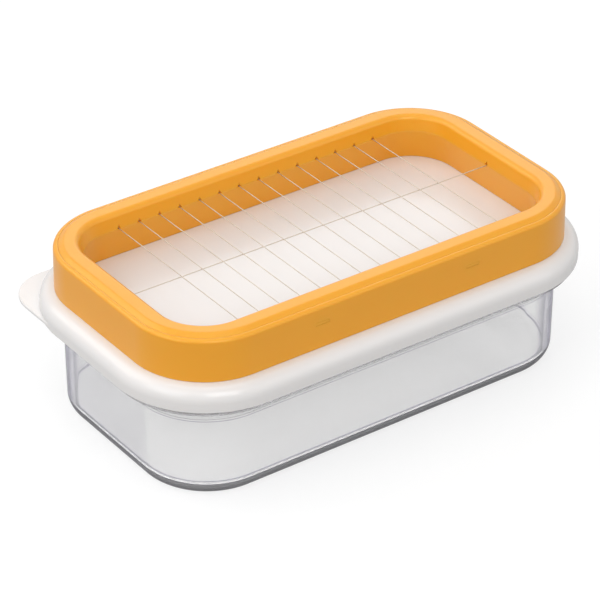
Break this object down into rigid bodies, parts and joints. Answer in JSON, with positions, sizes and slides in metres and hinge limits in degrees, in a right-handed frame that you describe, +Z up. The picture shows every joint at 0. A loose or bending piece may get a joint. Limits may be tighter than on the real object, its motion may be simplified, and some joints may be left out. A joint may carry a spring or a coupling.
{
  "type": "wire butter slicer",
  "caption": "Rectangular clear butter tray with a soft white lid, topped by a rounded orange frame strung with thin cutting wires.",
  "frame": {"origin": "middle of the tray's underside, on the surface it stands on", "axes": "+X along the long side to the right, -Y towards the front long side, +Z up"},
  "size_m": [0.173, 0.1024, 0.0603],
  "materials": {
    "clear_plastic": "clear, polished moulding, faintly warm",
    "white_plastic": "soft, slightly translucent white, satin",
    "orange_plastic": "opaque orange, satin moulding with a soft gloss",
    "steel_wire": "drawn stainless wire, bright",
    "ferrule_metal": "plain crimped sleeve"
  },
  "bodies": {
    "tray": {"tray": "clear_plastic"},
    "lid": {"lid": "white_plastic"},
    "cutter": {"frame_base": "orange_plastic", "frame_cap": "orange_plastic", "long_wire": "steel_wire", "front_ferrules": "ferrule_metal", "rear_ferrules": "ferrule_metal", "left_ferrule": "ferrule_metal", "right_ferrule": "ferrule_metal", "cross_wire_01": "steel_wire", "cross_wire_02": "steel_wire", "cross_wire_03": "steel_wire", "cross_wire_04": "steel_wire", "cross_wire_05": "steel_wire", "cross_wire_06": "steel_wire", "cross_wire_07": "steel_wire", "cross_wire_08": "steel_wire", "cross_wire_09": "steel_wire", "cross_wire_10": "steel_wire", "cross_wire_11": "steel_wire", "cross_wire_12": "steel_wire", "cross_wire_13": "steel_wire", "cross_wire_14": "steel_wire"}
  },
  "joints": [
    {"name": "lid_lift", "type": "slide", "parent": "tray", "child": "lid", "axis": [0, 0, 1], "range_m": [0, 0.06]},
    {"name": "cutter_lift", "type": "slide", "parent": "lid", "child": "cutter", "axis": [0, 0, 1], "range_m": [0, 0.06]}
  ]
}
